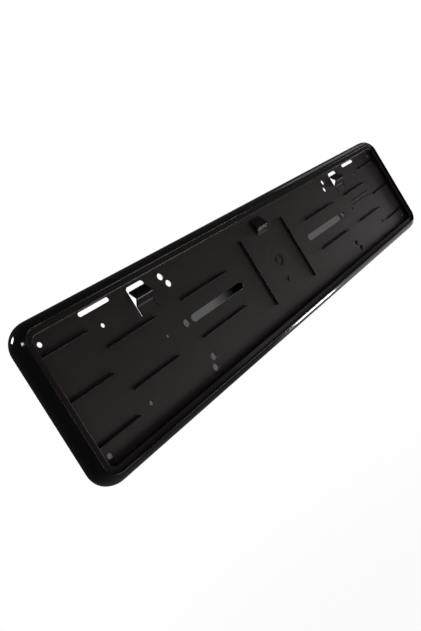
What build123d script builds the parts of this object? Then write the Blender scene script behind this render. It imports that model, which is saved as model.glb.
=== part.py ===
"""One-piece moulded number plate holder for a 520 x 112 mm plate.

The holder stands upright as it hangs on the car: X runs along its length, +Z is up and the
front faces -Y. The origin is the middle of the panel's back, on the line of the screw slots.
Levels in the moulding are measured from the panel's back towards the front.
"""
import os
from math import radians, tan

from build123d import *

os.makedirs("parts", exist_ok=True)

# Plate and the seat that takes it
plate_length = 520.0
plate_height = 112.0
plate_clearance = 0.5
seat_depth = 2.5
ledge_width = 5.0
opening_corner_radius = 5.1

# Rim section
rim_wall = 2.0
bead_width = 7.9
bead_inner_round = 0.4
ledge_edge_round = 0.8
skirt_land = 2.4
draft_angle = 2.0

# Panel and depths
panel_thickness = 2.2
pocket_depth = 5.6
skirt_depth = 4.2

# Stiffening ribs on the panel's front
rib_thickness = 1.3
rib_height = 2.6
rib_top_chamfer = 0.35
rib_row_pitch = 18.0
inner_rib_start = 70.0
inner_rib_length = 58.0
outer_rib_inset = 47.5
outer_rib_length = 48.5
end_rib_length = 40.0
centre_rib_offset = 34.7
centre_rib_length = 70.0

# Screw slots and the round holes beside them, from the middle
slot_start = 58.0
slot_length = 71.5
slot_width = 6.7
slot_hole_gap = 2.8
slot_hole_diameter = 6.8
pilot_hole_offset = 157.9
pilot_hole_diameter = 3.2

# Screw holes in pairs, from the middle and from the long walls
pair_hole_diameter = 6.4
pair_near_offset = 130.0
pair_near_inset = 15.8
pair_far_offset = 133.9
pair_far_inset = 7.7

# Small holes, from the end walls and from the long walls
small_hole_diameter = 3.8
small_hole_end_inset = 53.9
small_hole_inset = 17.6
corner_hole_diameter = 4.2
corner_hole_end_inset = 5.7
corner_hole_inset = 6.7

# Windows below the top wall
window_end_inset = 55.6
window_length = 29.5
window_height = 3.7
window_wall_gap = 0.5
window_corner_radius = 1.8

# Spring tongues, each cut free on three sides and bent to a blunt V
tongue_end_inset = 95.9
tongue_width = 16.4
tongue_thickness = 1.7
tongue_slit = 1.3
tongue_flat = 7.9
tongue_rise_run = 6.2
tongue_fall_run = 7.5
tongue_preload = 0.6
tongue_fold_round = 1.0
tongue_crest_round = 2.2
tongue_top_gap = 3.9
cutout_wall_gap = 2.0
cutout_corner_radius = 2.6

# Fixed stop at the middle, cored from behind
stop_width = 16.0
stop_rise_run = 6.5
stop_fall_run = 10.8
stop_preload = 0.6
stop_wall = 1.8
stop_edge_round = 0.6
stop_wall_gap = 3.7

# Moulding marks on the panel
gate_ring_diameter = 13.0
gate_boss_diameter = 5.0
gate_ring_depth = 0.7
pin_mark_drop = 22.2
pin_mark_diameter = 4.4
line_mark_end_inset = 50.5
line_mark_length = 36.0
line_mark_thickness = 1.2
line_mark_base = 2.1
line_mark_pitch = 4.9
mark_rise = 0.8

# Sizes that follow from those above
seat_length = plate_length + 2 * plate_clearance
seat_height = plate_height + 2 * plate_clearance
end_wall = seat_length / 2 - ledge_width
long_wall = seat_height / 2 - ledge_width
ledge_level = panel_thickness + pocket_depth
bead_level = ledge_level + seat_depth
rim_width = ledge_width + bead_width
tongue_rise = pocket_depth + tongue_preload
stop_rise = pocket_depth + stop_preload
panel_front = Plane.XZ.offset(panel_thickness)


def both_sides(x, z):
    """Two places at one height, left and right of the middle."""
    return [(-x, z), (x, z)]


def four_corners(x, z):
    """Four places that mirror each other across both middle lines."""
    return both_sides(x, z) + both_sides(x, -z)


def side_plane(x):
    """Plane of a side profile: its x runs up the panel and its y out of the front."""
    return Plane(origin=(x, 0, 0), x_dir=(0, 0, 1), z_dir=(1, 0, 0))


def corner_at(sketch, x, y):
    """The corner of a sketch at a point of its own plane."""
    return sketch.vertices().sort_by_distance((x, y, 0))[0]


# Rim: one wall that rises from the panel, turns out as the ledge, steps up to the bead's inner
# edge, rolls over in one arc and ends in a short drafted skirt, carried once round the opening.
# The skirt is drawn a little long and trimmed, so that its rear edge is flat.
draft = tan(radians(draft_angle))
land_level = skirt_land - skirt_depth
land_edge = rim_width - skirt_land * draft
skirt_spare = rim_wall

with BuildLine(Plane.XZ) as rim_path:
    FilletPolyline(
        (0, -long_wall),
        (-end_wall, -long_wall),
        (-end_wall, long_wall),
        (end_wall, long_wall),
        (end_wall, -long_wall),
        radius=[0] + 4 * [opening_corner_radius],
        close=True,
    )

rim_plane = Plane(origin=(0, 0, -long_wall), x_dir=(0, 0, -1), z_dir=(-1, 0, 0))
with BuildSketch(rim_plane) as rim_section:
    with BuildLine():
        Polyline((0, 0), (0, ledge_level), (ledge_width, ledge_level), (ledge_width, bead_level))
        TangentArc((land_edge, land_level), (ledge_width, bead_level), tangent=(-draft, 1))
        Line((land_edge, land_level), (rim_width + skirt_spare * draft, -skirt_depth - skirt_spare))
        offset(amount=rim_wall, side=Side.RIGHT)
    make_face()
    with Locations((rim_width, -skirt_depth)):
        Rectangle(4 * rim_wall, 2 * skirt_spare, align=(Align.CENTER, Align.MAX), mode=Mode.SUBTRACT)
    fillet(corner_at(rim_section, 0, ledge_level), ledge_edge_round)
    fillet(corner_at(rim_section, ledge_width, bead_level), bead_inner_round)

# Ribs: rows along the holder, a row at each end that runs into the wall, and two across
with BuildPart() as ribs:
    with BuildSketch(panel_front):
        with Locations(*four_corners(inner_rib_start + inner_rib_length / 2, rib_row_pitch)):
            Rectangle(inner_rib_length, rib_thickness)
        with Locations(*four_corners(end_wall - outer_rib_inset - outer_rib_length / 2, rib_row_pitch)):
            Rectangle(outer_rib_length, rib_thickness)
        for row in (-2, 0, 2):
            with Locations(*both_sides(end_wall - (end_rib_length - rim_wall / 2) / 2, row * rib_row_pitch)):
                Rectangle(end_rib_length + rim_wall / 2, rib_thickness)
        with Locations(*both_sides(centre_rib_offset, 0)):
            Rectangle(rib_thickness, centre_rib_length)
    extrude(amount=rib_height)
    long_top_edges = ribs.edges().group_by(Axis.Y)[0].filter_by(lambda edge: edge.length > 2 * rib_thickness)
    chamfer(long_top_edges, min(rib_top_chamfer, 0.4 * rib_thickness))

# Spring tongue: a strip that leaves the panel flat, folds forward and comes back to it
cutout_top = long_wall - cutout_wall_gap
tongue_tip = cutout_top - tongue_top_gap
tongue_crest = tongue_tip - tongue_fall_run
tongue_fold = tongue_crest - tongue_rise_run
tongue_root = tongue_fold - tongue_flat
tongue_offset = end_wall - tongue_end_inset
with BuildPart() as tongues:
    for x in (-tongue_offset, tongue_offset):
        with BuildSketch(side_plane(x)):
            with BuildLine():
                strip_front = FilletPolyline(
                    (tongue_root, panel_thickness),
                    (tongue_fold, panel_thickness),
                    (tongue_crest, panel_thickness + tongue_rise),
                    (tongue_tip, panel_thickness),
                    radius=[tongue_fold_round, tongue_crest_round],
                )
                offset(strip_front, amount=tongue_thickness, side=Side.RIGHT)
            make_face()
        extrude(amount=tongue_width / 2, both=True)

# Stop: a wedge with a rounded crest and sides
stop_back = long_wall - stop_wall_gap
stop_crest = stop_back - stop_fall_run
stop_foot = stop_crest - stop_rise_run
with BuildPart() as stop:
    with BuildSketch(side_plane(0)):
        with BuildLine():
            Polyline(
                (stop_foot, 0),
                (stop_foot, panel_thickness),
                (stop_crest, panel_thickness + stop_rise),
                (stop_back, panel_thickness),
                (stop_back, 0),
                close=True,
            )
        make_face()
    extrude(amount=stop_width / 2, both=True)
    fillet(stop.edges().group_by(Axis.Y)[0], stop_edge_round)

# Holder: rim, panel and everything that stands on the panel or passes through it
with BuildPart() as plate_holder:
    sweep(sections=rim_section.sketch, path=rim_path.line)
    with BuildSketch(Plane.XZ):
        RectangleRounded(
            2 * end_wall + rim_wall,
            2 * long_wall + rim_wall,
            opening_corner_radius + rim_wall / 2,
        )
    extrude(amount=panel_thickness)

    # Screw slots, round holes and windows, then the cut-outs round the tongues
    with BuildSketch(Plane.XZ):
        with Locations(*both_sides(slot_start + slot_length / 2, 0)):
            SlotOverall(slot_length, slot_width)
        slot_end = slot_start + slot_length
        with Locations(*both_sides(slot_end + slot_hole_gap + slot_hole_diameter / 2, 0)):
            Circle(slot_hole_diameter / 2)
        with Locations(*both_sides(pilot_hole_offset, 0)):
            Circle(pilot_hole_diameter / 2)
        with Locations(*four_corners(pair_near_offset, long_wall - pair_near_inset)):
            Circle(pair_hole_diameter / 2)
        with Locations(*four_corners(pair_far_offset, long_wall - pair_far_inset)):
            Circle(pair_hole_diameter / 2)
        with Locations(*four_corners(end_wall - small_hole_end_inset, long_wall - small_hole_inset)):
            Circle(small_hole_diameter / 2)
        with Locations(*four_corners(end_wall - corner_hole_end_inset, long_wall - corner_hole_inset)):
            Circle(corner_hole_diameter / 2)
        window_middle = long_wall - window_wall_gap - window_height / 2
        with Locations(*both_sides(end_wall - window_end_inset, window_middle)):
            RectangleRounded(window_length, window_height, window_corner_radius)
    extrude(amount=panel_thickness, mode=Mode.SUBTRACT)
    with BuildSketch(Plane.XZ) as cutouts:
        with Locations(*both_sides(tongue_offset, (cutout_top + tongue_root) / 2)):
            Rectangle(tongue_width + 2 * tongue_slit, cutout_top - tongue_root)
        fillet(cutouts.vertices().group_by(Axis.Y)[-1], cutout_corner_radius)
    extrude(amount=panel_thickness, mode=Mode.SUBTRACT)

    add(ribs.part)
    add(tongues.part)
    add(stop.part)

    # Core of the stop, open at the panel's back
    core_depth = panel_thickness + stop_wall
    with BuildSketch(side_plane(0)):
        with BuildLine():
            Polyline(
                (stop_foot - core_depth * stop_rise_run / stop_rise, -stop_wall),
                (stop_crest, panel_thickness + stop_rise),
                (stop_back + core_depth * stop_fall_run / stop_rise, -stop_wall),
                close=True,
            )
        make_face()
        offset(amount=-stop_wall, kind=Kind.INTERSECTION)
    extrude(amount=stop_width / 2 - stop_wall, both=True, mode=Mode.SUBTRACT)

    # Gate ring, ejector pin mark and two raised lines
    with BuildSketch(panel_front):
        Circle(gate_ring_diameter / 2)
        Circle(gate_boss_diameter / 2, mode=Mode.SUBTRACT)
    extrude(amount=-gate_ring_depth, mode=Mode.SUBTRACT)
    line_offset = end_wall - line_mark_end_inset - line_mark_length / 2
    with BuildSketch(panel_front):
        with Locations((0, -pin_mark_drop)):
            Circle(pin_mark_diameter / 2)
        for height in (line_mark_base, line_mark_base + line_mark_pitch):
            with Locations((line_offset, height)):
                Rectangle(line_mark_length, line_mark_thickness)
    extrude(amount=mark_rise)

plate_holder.part.label = "plate_holder"
export_step(plate_holder.part, "parts/plate_holder.step")
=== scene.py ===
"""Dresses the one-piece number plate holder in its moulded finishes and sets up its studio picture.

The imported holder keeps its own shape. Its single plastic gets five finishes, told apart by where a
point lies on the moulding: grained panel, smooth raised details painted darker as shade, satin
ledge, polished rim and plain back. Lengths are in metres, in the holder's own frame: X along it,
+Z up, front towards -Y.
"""

import logging
import math
from dataclasses import dataclass
from enum import Enum
from typing import Union

import bpy
import numpy as np
from mathutils import Matrix, Vector

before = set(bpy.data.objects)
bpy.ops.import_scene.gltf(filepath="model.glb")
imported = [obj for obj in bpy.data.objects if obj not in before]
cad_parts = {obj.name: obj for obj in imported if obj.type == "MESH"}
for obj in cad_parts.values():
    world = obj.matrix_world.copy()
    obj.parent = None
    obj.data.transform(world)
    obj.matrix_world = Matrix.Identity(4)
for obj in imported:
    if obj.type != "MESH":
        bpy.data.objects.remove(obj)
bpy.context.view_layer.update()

METRE = 1.0
MM = 0.001
PICTURE_LONG_SIDE_PX = 631
SENSOR_MM = 36.0
PLASTIC_IOR = 1.49
WHITE = (1.0, 1.0, 1.0, 1.0)
log = logging.getLogger("plate_holder")

Socket = bpy.types.NodeSocket
Pair = tuple[float, float]
Triple = tuple[float, float, float]
Rgba = tuple[float, float, float, float]
Number = Union[float, Socket]
Colour = Union[Rgba, Socket]
Input = Union[float, Triple, Rgba, Socket]


class Blend(Enum):
    """What a math node does with its two values, or with the first of them."""

    SUBTRACT = "SUBTRACT"
    MULTIPLY = "MULTIPLY"
    LARGER = "MAXIMUM"
    SINE = "SINE"


class VectorStep(Enum):
    """What a vector math node does, with the name of the output that holds the result."""

    MULTIPLY = ("MULTIPLY", "Vector")
    SUBTRACT = ("SUBTRACT", "Vector")
    LARGER = ("MAXIMUM", "Vector")
    ABSOLUTE = ("ABSOLUTE", "Vector")
    UNIT = ("NORMALIZE", "Vector")
    LENGTH = ("LENGTH", "Value")
    DISTANCE = ("DISTANCE", "Value")
    DOT = ("DOT_PRODUCT", "Value")


class Mix(Enum):
    """What a mix node mixes: its type, the places of its two inputs, and that of its output."""

    VALUE = ("FLOAT", 2, 3, 0)
    COLOUR = ("RGBA", 6, 7, 2)


class Band(Enum):
    """Which side of a threshold a soft mask keeps: its values before and after the step."""

    ABOVE = (0.0, 1.0)
    BELOW = (1.0, 0.0)


class NodeSheet:
    """A node tree with short typed methods for the few nodes that the finishes use."""

    def __init__(self, tree: bpy.types.NodeTree) -> None:
        """Keeps the tree and clears it."""
        self.tree = tree
        self.tree.nodes.clear()

    def add(self, kind: str, **settings: object) -> bpy.types.Node:
        """Adds one node.

        Args:
            kind: The node's type name.
            settings: Properties that are set on the node.

        Returns:
            The new node.
        """
        node = self.tree.nodes.new(kind)
        for name, value in settings.items():
            setattr(node, name, value)
        return node

    def feed(self, socket: Socket, value: Input) -> None:
        """Links an input, or sets it to a constant.

        Args:
            socket: The input.
            value: The socket that it is linked to, or the constant.
        """
        if isinstance(value, Socket):
            self.tree.links.new(value, socket)
        else:
            socket.default_value = value

    def math(self, blend: Blend, first: Number, second: Number = 0.0) -> Socket:
        """Works on one or two values with a math node.

        Args:
            blend: What is done.
            first: The first value.
            second: The second value, which a sine does not read.

        Returns:
            The result.
        """
        node = self.add("ShaderNodeMath", operation=blend.value)
        self.feed(node.inputs[0], first)
        self.feed(node.inputs[1], second)
        return node.outputs[0]

    def vector(self, step: VectorStep, first: Socket, second: Triple = (0.0, 0.0, 0.0)) -> Socket:
        """Works on a vector, with a constant one where the step takes two.

        Args:
            step: What is done.
            first: The vector.
            second: The constant vector.

        Returns:
            The resulting vector or value.
        """
        operation, result = step.value
        node = self.add("ShaderNodeVectorMath", operation=operation)
        self.feed(node.inputs[0], first)
        self.feed(node.inputs[1], second)
        return node.outputs[result]

    def scale(self, vector: Socket, factor: Socket) -> Socket:
        """Multiplies a vector or colour by one value.

        Args:
            vector: What is multiplied.
            factor: The value.

        Returns:
            The product.
        """
        node = self.add("ShaderNodeVectorMath", operation="SCALE")
        self.feed(node.inputs[0], vector)
        self.feed(node.inputs["Scale"], factor)
        return node.outputs["Vector"]

    def mask(self, value: Socket, start: float, end: float, band: Band = Band.ABOVE) -> Socket:
        """A smooth step from one side of a threshold to the other.

        Args:
            value: What is compared.
            start: Where the step begins.
            end: Where it is complete.
            band: Which side is kept.

        Returns:
            A value from 0 to 1.
        """
        before, after = band.value
        node = self.add("ShaderNodeMapRange", interpolation_type="SMOOTHSTEP")
        self.feed(node.inputs["Value"], value)
        self.feed(node.inputs["From Min"], start)
        self.feed(node.inputs["From Max"], end)
        self.feed(node.inputs["To Min"], before)
        self.feed(node.inputs["To Max"], after)
        return node.outputs["Result"]

    def span(self, value: Socket, low: float, high: float) -> Socket:
        """Carries a value to a range, and past its ends with the same slope.

        Args:
            value: A value that is 0 at the low end and 1 at the high end.
            low: The range's low end.
            high: Its high end.

        Returns:
            The value in the range.
        """
        node = self.add("ShaderNodeMapRange", clamp=False)
        self.feed(node.inputs["Value"], value)
        self.feed(node.inputs["To Min"], low)
        self.feed(node.inputs["To Max"], high)
        return node.outputs["Result"]

    def noise(
        self,
        place: Socket,
        size: float,
        detail: float = 2.0,
        stretch: Triple = (1.0, 1.0, 1.0),
    ) -> Socket:
        """A noise of a given feature size.

        Args:
            place: The coordinates that it reads.
            size: Length of one feature, in metres.
            detail: Number of finer layers.
            stretch: How much longer a feature is along each axis.

        Returns:
            A value round 0.5.
        """
        mapping = self.add("ShaderNodeMapping")
        self.feed(mapping.inputs["Vector"], place)
        self.feed(mapping.inputs["Scale"], tuple(1.0 / along for along in stretch))
        node = self.add("ShaderNodeTexNoise")
        self.feed(node.inputs["Vector"], mapping.outputs["Vector"])
        self.feed(node.inputs["Scale"], 1.0 / size)
        self.feed(node.inputs["Detail"], detail)
        return node.outputs["Fac"]

    def mix(self, kind: Mix, share: Socket, first: Input, second: Input) -> Socket:
        """Mixes two values or two colours.

        Args:
            kind: What is mixed.
            share: How much of the second there is.
            first: Shows where the share is 0.
            second: Shows where it is 1.

        Returns:
            The mixture.
        """
        data_type, first_place, second_place, result_place = kind.value
        node = self.add("ShaderNodeMix", data_type=data_type)
        self.feed(node.inputs[0], share)
        self.feed(node.inputs[first_place], first)
        self.feed(node.inputs[second_place], second)
        return node.outputs[result_place]

    def choose(self, share: Socket, first: Socket, second: Socket) -> Socket:
        """Mixes two shaders.

        Args:
            share: How much of the second there is.
            first: Shows where the share is 0.
            second: Shows where it is 1.

        Returns:
            The mixed shader.
        """
        node = self.add("ShaderNodeMixShader")
        self.feed(node.inputs[0], share)
        self.feed(node.inputs[1], first)
        self.feed(node.inputs[2], second)
        return node.outputs["Shader"]

    def close(self, kind: str, surface: Socket) -> None:
        """Ends the tree with an output node of a given kind."""
        self.feed(self.add(kind).inputs["Surface"], surface)


def new_material(name: str) -> tuple[bpy.types.Material, NodeSheet]:
    """Makes a material with an empty node tree.

    Args:
        name: The material's name.

    Returns:
        The material and its tree.
    """
    material = bpy.data.materials.new(name)
    material.use_nodes = True
    return material, NodeSheet(material.node_tree)


@dataclass(frozen=True)
class Finish:
    """One surface finish of the moulding tool, in the same black plastic.

    Args:
        colour: Base colour, linear.
        roughness: Roughness of the surface.
        grain: Height of the tool's grain, in metres.
    """

    colour: Triple
    roughness: float
    grain: float

    @property
    def rgba(self) -> Rgba:
        """The colour with full opacity."""
        return (*self.colour, 1.0)


PANEL_GRAIN = Finish(colour=(0.0240, 0.0148, 0.0154), roughness=0.48, grain=0.020 * MM)
# Ribs, tongues and stop: a smooth finish, whose darker colour is also painted shade along the ribs.
RAISED_SMOOTH_AND_SHADE = Finish(colour=(0.0060, 0.0050, 0.0052), roughness=0.22, grain=0.001 * MM)
LEDGE_SATIN = Finish(colour=(0.0195, 0.0125, 0.0118), roughness=0.18, grain=0.003 * MM)
RIM_POLISH = Finish(colour=(0.0045, 0.0044, 0.0046), roughness=0.10, grain=0.0004 * MM)
BACK_PLAIN = Finish(colour=(0.0130, 0.0120, 0.0115), roughness=0.38, grain=0.005 * MM)


@dataclass
class PlateHolder:
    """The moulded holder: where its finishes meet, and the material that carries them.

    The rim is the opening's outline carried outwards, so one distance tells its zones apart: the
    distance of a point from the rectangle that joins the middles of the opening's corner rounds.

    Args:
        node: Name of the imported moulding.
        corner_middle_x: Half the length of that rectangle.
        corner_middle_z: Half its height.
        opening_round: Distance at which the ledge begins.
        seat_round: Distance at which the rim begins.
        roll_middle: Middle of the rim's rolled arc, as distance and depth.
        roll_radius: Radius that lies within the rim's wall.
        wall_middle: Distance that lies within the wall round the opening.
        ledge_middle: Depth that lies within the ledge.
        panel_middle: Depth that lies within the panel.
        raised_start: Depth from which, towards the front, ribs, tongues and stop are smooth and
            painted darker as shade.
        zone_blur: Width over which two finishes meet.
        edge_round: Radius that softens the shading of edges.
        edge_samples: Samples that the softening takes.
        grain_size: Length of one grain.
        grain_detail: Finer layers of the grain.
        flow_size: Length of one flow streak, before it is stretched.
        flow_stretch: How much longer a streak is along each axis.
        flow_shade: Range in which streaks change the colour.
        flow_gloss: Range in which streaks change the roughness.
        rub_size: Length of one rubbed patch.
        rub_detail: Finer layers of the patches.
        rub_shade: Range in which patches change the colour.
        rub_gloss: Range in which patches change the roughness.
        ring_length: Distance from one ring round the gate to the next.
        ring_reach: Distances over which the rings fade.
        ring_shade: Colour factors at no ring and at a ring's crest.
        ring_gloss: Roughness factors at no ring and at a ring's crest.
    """

    node: str = "plate_holder"
    corner_middle_x: float = 250.4 * MM
    corner_middle_z: float = 46.4 * MM
    opening_round: float = 5.1 * MM
    seat_round: float = 10.1 * MM
    roll_middle: Triple = (3.88 * MM, 2.29 * MM, 0.0)
    roll_radius: float = 13.04 * MM
    wall_middle: float = 6.1 * MM
    ledge_middle: float = -7.35 * MM
    panel_middle: float = -1.1 * MM
    raised_start: float = -3.0 * MM
    zone_blur: float = 0.25 * MM
    edge_round: float = 0.25 * MM
    edge_samples: int = 6
    grain_size: float = 0.45 * MM
    grain_detail: float = 3.0
    flow_size: float = 70.0 * MM
    flow_stretch: Triple = (3.0, 1.0, 1.0)
    flow_shade: Pair = (0.86, 1.14)
    flow_gloss: Pair = (0.92, 1.08)
    rub_size: float = 9.0 * MM
    rub_detail: float = 6.0
    rub_shade: Pair = (0.94, 1.06)
    rub_gloss: Pair = (0.80, 1.20)
    ring_length: float = 12.0 * MM
    ring_reach: Pair = (9.0 * MM, 32.0 * MM)
    ring_shade: Pair = (1.0, 1.20)
    ring_gloss: Pair = (1.0, 0.91)

    def corner_distance(self, sheet: NodeSheet, place: Socket) -> Socket:
        """Distance from the rectangle through the corner middles, seen from the front.

        The place is flattened to X and Z and folded into one quarter by its absolute value; what
        is left beyond the corner's middle, along each axis, gives the length.

        Args:
            sheet: The node tree that is built.
            place: Object coordinates.

        Returns:
            The distance in metres, nil over most of the panel.
        """
        flat = sheet.vector(VectorStep.MULTIPLY, place, (1.0, 0.0, 1.0))
        quarter = sheet.vector(VectorStep.ABSOLUTE, flat)
        middle = (self.corner_middle_x, 0.0, self.corner_middle_z)
        beyond = sheet.vector(VectorStep.SUBTRACT, quarter, middle)
        outside = sheet.vector(VectorStep.LARGER, beyond)
        return sheet.vector(VectorStep.LENGTH, outside)

    def zone_masks(self, sheet: NodeSheet, place: Socket) -> list[tuple[Finish, Socket]]:
        """The finishes that lie over the panel's grain, each with the mask that places it.

        Args:
            sheet: The node tree that is built.
            place: Object coordinates.

        Returns:
            Pairs of finish and mask, in the order in which they cover each other.
        """
        blur = self.zone_blur
        distance = self.corner_distance(sheet, place)
        parts = sheet.add("ShaderNodeSeparateXYZ")
        sheet.feed(parts.inputs["Vector"], place)
        depth = parts.outputs["Y"]
        section = sheet.add("ShaderNodeCombineXYZ")
        sheet.feed(section.inputs["X"], distance)
        sheet.feed(section.inputs["Y"], depth)
        from_roll = sheet.vector(VectorStep.DISTANCE, section.outputs["Vector"], self.roll_middle)
        # Raised details take the smooth finish, painted darker as shade on the ribs.
        raised = sheet.mask(depth, self.raised_start - 2 * blur, self.raised_start, Band.BELOW)
        ledge = sheet.mask(distance, self.opening_round, self.opening_round + 2 * blur)
        rim = sheet.mask(distance, self.seat_round - blur, self.seat_round)
        under_roll = sheet.mask(from_roll, self.roll_radius, self.roll_radius + blur, Band.BELOW)
        past_wall = sheet.mask(distance, self.wall_middle - blur, self.wall_middle)
        behind_ledge = sheet.mask(depth, self.ledge_middle - blur, self.ledge_middle)
        behind_panel = sheet.mask(depth, self.panel_middle - blur, self.panel_middle)
        in_rim = sheet.math(Blend.MULTIPLY, past_wall, behind_ledge)
        behind = sheet.math(Blend.LARGER, in_rim, behind_panel)
        back = sheet.math(Blend.MULTIPLY, under_roll, behind)
        return [(RAISED_SMOOTH_AND_SHADE, raised), (LEDGE_SATIN, ledge), (RIM_POLISH, rim), (BACK_PLAIN, back)]

    def gate_rings(self, sheet: NodeSheet, place: Socket) -> Socket:
        """Faint rings that the flowing plastic leaves round the gate, at the panel's middle.

        Args:
            sheet: The node tree that is built.
            place: Object coordinates.

        Returns:
            A wave of the distance from the middle, from -1 to 1, that fades with that distance.
        """
        distance = sheet.vector(VectorStep.LENGTH, place)
        turns = sheet.math(Blend.MULTIPLY, distance, math.tau / self.ring_length)
        fade = sheet.mask(distance, *self.ring_reach, Band.BELOW)
        return sheet.math(Blend.MULTIPLY, sheet.math(Blend.SINE, turns), fade)

    def unevenness(self, sheet: NodeSheet, place: Socket) -> tuple[Socket, Socket]:
        """How flow streaks, rubbed patches and gate rings change the finishes.

        Args:
            sheet: The node tree that is built.
            place: Object coordinates.

        Returns:
            A factor for the colour and one for the roughness.
        """
        flow = sheet.noise(place, self.flow_size, stretch=self.flow_stretch)
        rub = sheet.noise(place, self.rub_size, detail=self.rub_detail)
        rings = self.gate_rings(sheet, place)
        shade = sheet.math(
            Blend.MULTIPLY,
            sheet.span(flow, *self.flow_shade),
            sheet.span(rub, *self.rub_shade),
        )
        gloss = sheet.math(
            Blend.MULTIPLY,
            sheet.span(flow, *self.flow_gloss),
            sheet.span(rub, *self.rub_gloss),
        )
        shade = sheet.math(Blend.MULTIPLY, shade, sheet.span(rings, *self.ring_shade))
        gloss = sheet.math(Blend.MULTIPLY, gloss, sheet.span(rings, *self.ring_gloss))
        return shade, gloss

    def relief(self, sheet: NodeSheet, place: Socket, grain: Number) -> Socket:
        """The tool's grain on softly rounded edges.

        Args:
            sheet: The node tree that is built.
            place: Object coordinates.
            grain: Height of the grain, in metres.

        Returns:
            The normal.
        """
        pits = sheet.noise(place, self.grain_size, detail=self.grain_detail)
        edge = sheet.add("ShaderNodeBevel", samples=self.edge_samples)
        sheet.feed(edge.inputs["Radius"], self.edge_round)
        bump = sheet.add("ShaderNodeBump")
        sheet.feed(bump.inputs["Distance"], METRE)
        sheet.feed(bump.inputs["Height"], sheet.math(Blend.MULTIPLY, pits, grain))
        sheet.feed(bump.inputs["Normal"], edge.outputs["Normal"])
        return bump.outputs["Normal"]

    def plastic(self) -> bpy.types.Material:
        """Makes the black plastic with its five finishes.

        Returns:
            The material.
        """
        material, sheet = new_material("black_plastic_finishes")
        place = sheet.add("ShaderNodeTexCoord").outputs["Object"]
        colour: Colour = PANEL_GRAIN.rgba
        roughness: Number = PANEL_GRAIN.roughness
        grain: Number = PANEL_GRAIN.grain
        for finish, mask in self.zone_masks(sheet, place):
            colour = sheet.mix(Mix.COLOUR, mask, colour, finish.rgba)
            roughness = sheet.mix(Mix.VALUE, mask, roughness, finish.roughness)
            grain = sheet.mix(Mix.VALUE, mask, grain, finish.grain)
        shade, gloss = self.unevenness(sheet, place)
        surface = sheet.add("ShaderNodeBsdfPrincipled")
        sheet.feed(surface.inputs["Base Color"], sheet.scale(colour, shade))
        sheet.feed(surface.inputs["Roughness"], sheet.math(Blend.MULTIPLY, roughness, gloss))
        sheet.feed(surface.inputs["Normal"], self.relief(sheet, place, grain))
        sheet.feed(surface.inputs["IOR"], PLASTIC_IOR)
        sheet.close("ShaderNodeOutputMaterial", surface.outputs["BSDF"])
        return material

    def dress(self) -> bpy.types.Object:
        """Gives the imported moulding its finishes.

        Returns:
            The holder's object.
        """
        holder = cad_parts[self.node]
        holder.data.materials[0] = self.plastic()
        return holder


@dataclass(frozen=True)
class SoftBox:
    """One square soft light that faces the holder's middle.

    Args:
        name: The lamp's name.
        towards: Direction from the holder to the lamp, of length 1 or close to it.
        size: Side of the square, in metres.
        power: Its power in watts.
    """

    name: str
    towards: Triple
    size: float
    power: float

    def hang(self, reach: float) -> bpy.types.Object:
        """Hangs the lamp.

        Args:
            reach: Distance from the holder's middle.

        Returns:
            The lamp's object.
        """
        data = bpy.data.lights.new(self.name, "AREA")
        data.shape = "SQUARE"
        data.size = self.size
        data.energy = self.power
        lamp = bpy.data.objects.new(self.name, data)
        lamp.location = reach * Vector(self.towards)
        lamp.rotation_euler = Vector(self.towards).to_track_quat("Z", "Y").to_euler()
        bpy.context.scene.collection.objects.link(lamp)
        return lamp


KEY_BOX = SoftBox("key_box", (0.04, -0.54, -0.84), size=0.50, power=4.6)
FILL_BOX = SoftBox("fill_box", (0.50, -0.54, -0.68), size=0.50, power=3.8)
SIDE_BOX = SoftBox("side_box", (0.97, -0.11, -0.22), size=0.46, power=2.2)
FRONT_BOX = SoftBox("front_box", (0.66, -0.63, -0.41), size=0.50, power=0.50)
RIM_BOX = SoftBox("rim_box", (0.72, 0.02, -0.69), size=0.16, power=1.6)
LOW_BOX = SoftBox("low_box", (0.81, 0.10, -0.58), size=0.60, power=0.50)
TOP_BOX = SoftBox("top_box", (0.85, 0.05, 0.52), size=0.30, power=0.12)
CORNER_BOX = SoftBox("corner_box", (-0.82, -0.42, 0.39), size=0.18, power=1.5)
BACK_BOX = SoftBox("back_box", (-0.65, 0.47, 0.60), size=0.26, power=5.5)
ALL_BOXES = (KEY_BOX, FILL_BOX, SIDE_BOX, FRONT_BOX, RIM_BOX, LOW_BOX, TOP_BOX, CORNER_BOX, BACK_BOX)


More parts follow.
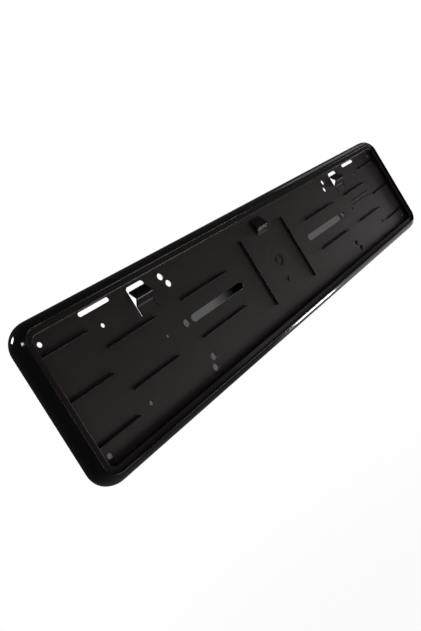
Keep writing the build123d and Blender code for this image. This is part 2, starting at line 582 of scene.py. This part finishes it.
@dataclass
class Studio:
    """Plain pale floor below the hanging holder, soft boxes and white surroundings.

    Camera rays see white all round. Reflected and passed-on rays see the same white where it
    stands behind the holder in the picture, and the dim rest of the room elsewhere.

    Args:
        floor_drop: How far the floor lies below the holder's middle.
        floor_half: Half the floor's side.
        floor_colour: The floor's paint.
        floor_white: Share of plain white in the floor, near and far.
        floor_fade: Distances between which that share changes.
        backing_corner: Lower left corner of the sheet behind the panel, which glows as painted
            shade.
        backing_size: Length and height of that sheet.
        backing_painted_shade: Brightness of that painted shade.
        backing_slant: Direction in which its painted dark end lies.
        backing_end: Distances along that direction between which the painted shade darkens.
        shade_middle: Middle of its painted shadow spot.
        shade_reach: Distances from there between which it lightens.
        cells: Cells along each side of a sheet.
        view_axis: Direction in which the camera looks.
        backdrop_reach: Closeness to that direction, from where the white behind begins to where
            it is full.
        lit_side: Direction of the room's lighter side.
        lit_reach: Closeness to that direction, at the room's dim and at its lighter level.
        room_levels: Brightness of the room on the far side and on the lighter side.
        lamp_reach: Distance of the lamps from the holder's middle.
        boxes: The lamps.
    """

    floor_drop: float = 1.60
    floor_half: float = 6.0
    floor_colour: Rgba = (0.90, 0.90, 0.90, 1.0)
    floor_white: Pair = (0.95, 1.0)
    floor_fade: Pair = (1.7, 4.0)
    backing_corner: Triple = (-0.250, 0.0040, -0.051)
    backing_size: Pair = (0.500, 0.073)
    backing_painted_shade: float = 0.095
    backing_slant: Triple = (1.0, 0.0, -0.7)
    backing_end: Pair = (0.147, 0.153)
    shade_middle: Triple = (-0.052, 0.0, 0.0)
    shade_reach: Pair = (0.014, 0.052)
    cells: int = 8
    view_axis: Triple = (0.636, 0.771, -0.036)
    backdrop_reach: Pair = (0.90, 1.0)
    lit_side: Triple = (0.75, -0.45, -0.48)
    lit_reach: Pair = (-0.7, 0.9)
    room_levels: Pair = (0.045, 0.075)
    lamp_reach: float = 1.25
    boxes: tuple[SoftBox, ...] = ALL_BOXES

    def flat(self, name: str, corner: Triple, along: Triple, across: Triple) -> bpy.types.Object:
        """Makes a flat staged sheet.

        Each point is the corner plus u times one side plus v times the other, over a square grid
        of the two parameters u and v, which run evenly from 0 to 1.

        Args:
            name: Name of the object and its mesh.
            corner: One corner of the sheet.
            along: Side that u follows.
            across: Side that v follows.

        Returns:
            The sheet's object, facing along the cross product of its sides.
        """
        steps = np.linspace(0.0, 1.0, self.cells + 1)
        u, v = np.meshgrid(steps, steps, indexing="ij")
        points = np.array(corner) + u[..., None] * np.array(along) + v[..., None] * np.array(across)
        index = np.arange(u.size).reshape(u.shape)
        corners = (index[:-1, :-1], index[1:, :-1], index[1:, 1:], index[:-1, 1:])
        quads = np.stack(corners, axis=-1).reshape(-1, 4)
        mesh = bpy.data.meshes.new(name)
        mesh.from_pydata(points.reshape(-1, 3).tolist(), [], quads.tolist())
        sheet = bpy.data.objects.new(name, mesh)
        bpy.context.scene.collection.objects.link(sheet)
        return sheet

    def floor(self) -> bpy.types.Object:
        """Makes the pale floor.

        Returns:
            The floor's object.
        """
        side = 2 * self.floor_half
        corner = (-self.floor_half, -self.floor_half, -self.floor_drop)
        floor = self.flat("studio_floor", corner, (side, 0.0, 0.0), (0.0, side, 0.0))
        floor.data.materials.append(self.floor_paint())
        return floor

    def backing(self) -> bpy.types.Object:
        """Makes the sheet of painted shade that shows in the slots and lower holes, in the hollow
        behind the panel.

        Returns:
            The sheet's object.
        """
        length, height = self.backing_size
        along = (length, 0.0, 0.0)
        across = (0.0, 0.0, height)
        backing = self.flat("studio_backing", self.backing_corner, along, across)
        backing.data.materials.append(self.backing_paint())
        return backing

    def shown(self, sheet: NodeSheet, direction: Socket) -> Socket:
        """Tells which rays see the white surroundings.

        Args:
            sheet: The node tree that is built.
            direction: Direction in which the surroundings lie.

        Returns:
            1 for all camera rays, and for mirrored and passed-on rays that end behind the holder.
        """
        path = sheet.add("ShaderNodeLightPath")
        mirrored = path.outputs["Is Glossy Ray"]
        passed_on = path.outputs["Is Transmission Ray"]
        facing = sheet.vector(VectorStep.DOT, direction, self.view_axis)
        behind = sheet.mask(facing, *self.backdrop_reach)
        onward = sheet.math(Blend.LARGER, mirrored, passed_on)
        backdrop = sheet.math(Blend.MULTIPLY, onward, behind)
        return sheet.math(Blend.LARGER, path.outputs["Is Camera Ray"], backdrop)

    def floor_paint(self) -> bpy.types.Material:
        """Matte white that is nearly white to what sees it, and keeps part of its own shade.

        Returns:
            The floor's material.
        """
        material, sheet = new_material("studio_white")
        place = sheet.add("ShaderNodeTexCoord").outputs["Object"]
        distance = sheet.vector(VectorStep.LENGTH, place)
        white = sheet.span(sheet.mask(distance, *self.floor_fade), *self.floor_white)
        shown = self.shown(sheet, sheet.vector(VectorStep.UNIT, place))
        paint = sheet.add("ShaderNodeBsdfDiffuse")
        sheet.feed(paint.inputs["Color"], self.floor_colour)
        glow = sheet.add("ShaderNodeEmission")
        share = sheet.math(Blend.MULTIPLY, shown, white)
        surface = sheet.choose(share, paint.outputs["BSDF"], glow.outputs["Emission"])
        sheet.close("ShaderNodeOutputMaterial", surface)
        return material

    def backing_paint(self) -> bpy.types.Material:
        """Painted shade: a grey glow to the camera from the front, with a painted shadow spot and a
        dark end, and clear to all else.

        Returns:
            The backing's material.
        """
        material, sheet = new_material("studio_backing_grey")
        camera = sheet.add("ShaderNodeLightPath").outputs["Is Camera Ray"]
        from_behind = sheet.add("ShaderNodeNewGeometry").outputs["Backfacing"]
        place = sheet.add("ShaderNodeTexCoord").outputs["Object"]
        # The sheet glows grey as painted shade, with a painted shadow spot and a painted dark end.
        from_spot = sheet.vector(VectorStep.DISTANCE, place, self.shade_middle)
        to_end = sheet.vector(VectorStep.DOT, place, self.backing_slant)
        lit = sheet.math(
            Blend.MULTIPLY,
            sheet.mask(from_spot, *self.shade_reach),
            sheet.mask(to_end, *self.backing_end, Band.BELOW),
        )
        glow = sheet.add("ShaderNodeEmission")
        sheet.feed(glow.inputs["Strength"], sheet.span(lit, 0.0, self.backing_painted_shade))
        clear = sheet.add("ShaderNodeBsdfTransparent")
        in_front = sheet.math(Blend.SUBTRACT, 1.0, from_behind)
        share = sheet.math(Blend.MULTIPLY, camera, in_front)
        surface = sheet.choose(share, clear.outputs["BSDF"], glow.outputs["Emission"])
        sheet.close("ShaderNodeOutputMaterial", surface)
        return material

    def surroundings(self) -> bpy.types.World:
        """White to what shows it, and a dim room that is lighter on the side of the lamps.

        Returns:
            The world.
        """
        world = bpy.data.worlds.new("studio_surroundings")
        world.use_nodes = True
        sheet = NodeSheet(world.node_tree)
        direction = sheet.add("ShaderNodeTexCoord").outputs["Generated"]
        towards = sheet.vector(VectorStep.DOT, direction, self.lit_side)
        room = sheet.span(sheet.mask(towards, *self.lit_reach), *self.room_levels)
        light = sheet.add("ShaderNodeBackground")
        sheet.feed(light.inputs["Color"], WHITE)
        strength = sheet.mix(Mix.VALUE, self.shown(sheet, direction), room, 1.0)
        sheet.feed(light.inputs["Strength"], strength)
        sheet.close("ShaderNodeOutputWorld", light.outputs["Background"])
        bpy.context.scene.world = world
        return world

    def build(self) -> list[bpy.types.Object]:
        """Makes surroundings, floor, backing and lamps.

        Returns:
            The studio's objects.
        """
        self.surroundings()
        return [self.floor(), self.backing()] + [box.hang(self.lamp_reach) for box in self.boxes]


@dataclass
class PictureCamera:
    """The camera of the photograph, as it stood before the hanging holder.

    Args:
        place: Where it stands.
        azimuth_deg: How far it stands round from the front, towards +X.
        elevation_deg: How far it looks down.
        roll_deg: How far it is turned about its axis.
        focal_px: Focal length, in pixels of the picture.
        axis_left_px: How far left of the picture's middle its axis lies, in pixels.
        axis_above_px: How far above the middle it lies.
        clip_start: Nearest distance that shows.
    """

    place: Triple = (-0.3848, -0.3430, 0.0302)
    azimuth_deg: float = -39.53
    elevation_deg: float = 2.07
    roll_deg: float = -31.56
    focal_px: float = 514.8
    axis_left_px: float = 7.3
    axis_above_px: float = 24.0
    clip_start: float = 0.01

    def matrix(self) -> Matrix:
        """Place and turn of the camera.

        The view's back vector follows from azimuth and elevation, and the level right and up
        vectors are then turned about it by the roll.

        Returns:
            The camera's matrix in the holder's frame.
        """
        azimuth = math.radians(self.azimuth_deg)
        elevation = math.radians(self.elevation_deg)
        level = math.cos(elevation)
        back = Vector((math.sin(azimuth) * level, -math.cos(azimuth) * level, math.sin(elevation)))
        turn = back.to_track_quat("Z", "Y").to_matrix()
        roll = Matrix.Rotation(math.radians(self.roll_deg), 3, "Z")
        return Matrix.Translation(self.place) @ (turn @ roll).to_4x4()

    def build(self) -> bpy.types.Object:
        """Makes the camera and takes the picture through it.

        Returns:
            The camera's object.
        """
        data = bpy.data.cameras.new("picture_camera")
        data.sensor_width = SENSOR_MM
        data.lens = SENSOR_MM * self.focal_px / PICTURE_LONG_SIDE_PX
        data.shift_x = self.axis_left_px / PICTURE_LONG_SIDE_PX
        data.shift_y = -self.axis_above_px / PICTURE_LONG_SIDE_PX
        data.clip_start = self.clip_start
        camera = bpy.data.objects.new("picture_camera", data)
        camera.matrix_world = self.matrix()
        bpy.context.scene.collection.objects.link(camera)
        bpy.context.scene.camera = camera
        return camera


def main() -> None:
    """Builds the holder's looks, the studio and the camera, in that order."""
    logging.basicConfig(level=logging.INFO, format="%(name)s: %(message)s")
    bpy.context.scene.view_settings.view_transform = "Standard"
    holder = PlateHolder().dress()
    log.info("dressed %s with %d faces", holder.name, len(holder.data.polygons))
    for piece in Studio().build():
        log.info("studio has %s", piece.name)
    camera = PictureCamera().build()
    log.info("camera %s at %s", camera.name, tuple(round(value, 3) for value in camera.location))


if __name__ == "__main__":
    main()
